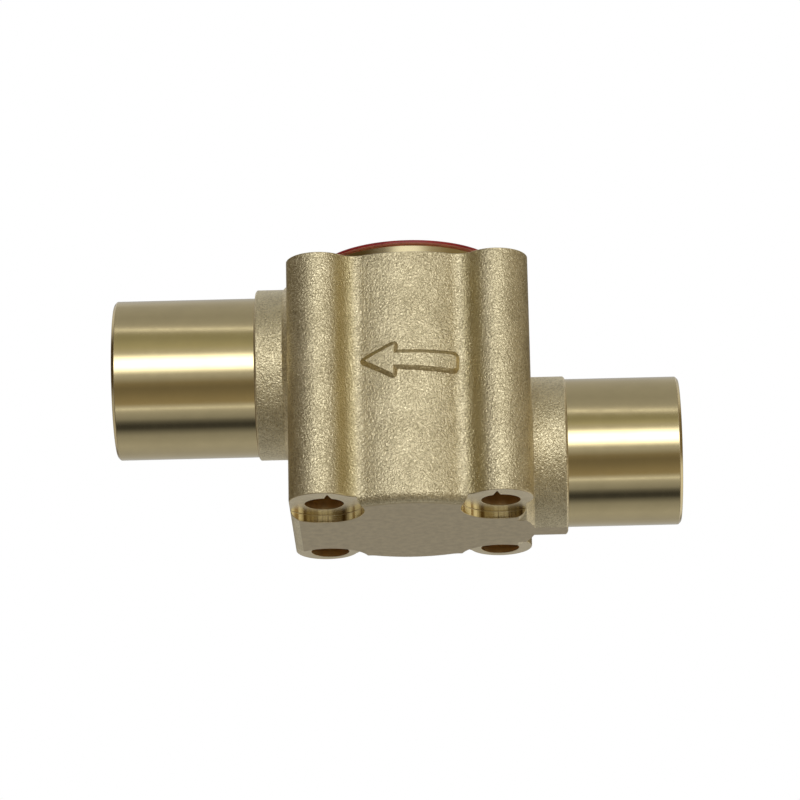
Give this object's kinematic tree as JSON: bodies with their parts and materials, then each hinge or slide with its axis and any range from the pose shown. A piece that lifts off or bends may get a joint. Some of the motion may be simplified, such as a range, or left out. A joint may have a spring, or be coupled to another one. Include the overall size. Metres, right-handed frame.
{
  "type": "expansion valve body",
  "caption": "Straight-through brass body of a refrigerant expansion valve with two solder necks, bolt columns, a flow arrow and a push-in plastic cap.",
  "frame": {"origin": "centre of the flat bottom face, on the axis of the main bore and of the bolt pattern", "axes": "+Z along the main bore, towards the rim and cap; +X along the inlet neck; the flow arrow is on the -Y side"},
  "size_m": [0.1239, 0.0527, 0.0611],
  "materials": {
    "brass": "shot-blasted cast skin, with turned necks and rim and a faced bottom",
    "red_plastic": "moulded soft plastic, slightly translucent"
  },
  "bodies": {
    "body": {"valve_body": "brass"},
    "cap": {"protective_cap": "red_plastic"}
  },
  "joints": [
    {"name": "cap_pull", "type": "slide", "parent": "body", "child": "cap", "axis": [0, 0, 1], "range_m": [0, 0.02]}
  ]
}
